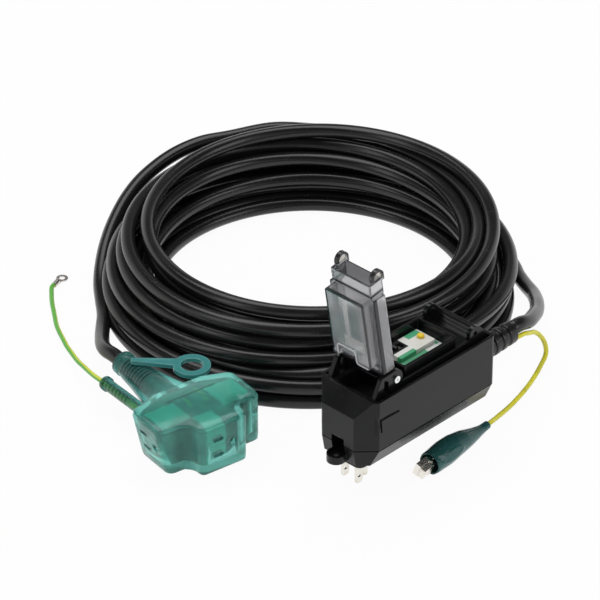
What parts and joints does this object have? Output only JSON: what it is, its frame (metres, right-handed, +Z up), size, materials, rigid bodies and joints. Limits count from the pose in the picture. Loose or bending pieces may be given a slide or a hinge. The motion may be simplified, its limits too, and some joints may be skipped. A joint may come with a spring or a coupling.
{
  "type": "shore power cord",
  "caption": "Outdoor power cord: plug-in earth leakage breaker with an open lid, coil of round cable, translucent triple tap and two earth leads.",
  "frame": {"origin": "on the floor under the middle of the breaker plug, measured from its screw lug to the tip of its strain relief", "axes": "+X along the breaker housing towards its cable, +Y across the housing towards the coil, +Z up out of the plug face"},
  "size_m": [0.3837, 0.382, 0.1738],
  "materials": {
    "housing_black": "satin moulded black",
    "frame_black": "moulded black",
    "smoke_clear": "smoke transparent",
    "steel": "bright",
    "module_ivory": "moulded",
    "label_white": "bare white and green panel",
    "lever_black": "moulded",
    "button_yellow": "moulded",
    "nickelled_brass": "nickel plated",
    "board_green": "laminate",
    "toroid_blue": "coated core",
    "core_black": "insulation",
    "core_white": "insulation",
    "core_green": "insulation",
    "clamp_black": "moulded",
    "relief_black": "matt rubber",
    "cable_black": "satin sheath",
    "lead_yellow": "smooth sheath",
    "boot_teal": "soft vinyl",
    "clip_steel": "plated sheet",
    "tap_green": "translucent green vinyl",
    "core_teal": "inner moulding",
    "bus_brass": "rolled strip",
    "relief_teal": "ribbed rubber",
    "lead_green": "green with a yellow stripe",
    "tin_plate": "tinned"
  },
  "bodies": {
    "housing": {"upper_shell": "housing_black", "lower_shell": "housing_black", "deck_frame": "frame_black", "hinge_pin": "steel", "breaker_module": "module_ivory", "label_plate": "label_white", "line_blade": "nickelled_brass", "neutral_blade": "nickelled_brass", "earth_pin": "nickelled_brass", "circuit_board": "board_green", "current_transformer": "toroid_blue", "line_core": "core_black", "neutral_core": "core_white", "earth_core": "core_green", "cable_clamp": "clamp_black", "clamp_screws": "steel", "housing_screws": "steel", "strain_relief": "relief_black", "cable_tail": "cable_black", "lead_tail": "lead_yellow", "cord_to_breaker": "cable_black", "cord_coil": "cable_black", "cord_to_tap": "cable_black", "clip_lead": "lead_yellow", "clip_boot": "boot_teal", "clip_lower_jaw": "clip_steel", "clip_pivot": "steel", "tap_body": "tap_green", "tap_core": "core_teal", "tap_line_bus": "bus_brass", "tap_neutral_bus": "bus_brass", "tap_earth_bus": "bus_brass", "tap_relief": "relief_teal", "tap_cable_tail": "cable_black", "tap_strap": "tap_green", "tap_lead_tail": "lead_green", "tap_lead": "lead_green", "ring_terminal": "tin_plate"},
    "lid": {"lid": "smoke_clear"},
    "button": {"test_button": "button_yellow"},
    "lever": {"breaker_lever": "lever_black"},
    "clip_jaw": {"clip_upper_jaw": "clip_steel"}
  },
  "joints": [
    {"name": "lid_hinge", "type": "hinge", "parent": "housing", "child": "lid", "pos_m": [-0.049, 0, 0.0845], "axis": [0, 1, 0], "range_deg": [0, 99.5]},
    {"name": "button_press", "type": "slide", "parent": "housing", "child": "button", "axis": [0, 0, -1], "range_m": [0, 0.0015], "stiffness_N_per_m": 400},
    {"name": "lever_pivot", "type": "hinge", "parent": "housing", "child": "lever", "pos_m": [-0.01695, 0.0085, 0.075], "axis": [0, 1, 0], "range_deg": [0, 40]},
    {"name": "jaw_pivot", "type": "hinge", "parent": "housing", "child": "clip_jaw", "pos_m": [-0.02365, -0.03159, 0.0092], "axis": [-0.0358, 0.3401, -0.9397], "range_deg": [0, 20], "stiffness_Nm_per_rad": 0.3, "springref_deg": -22.92}
  ]
}
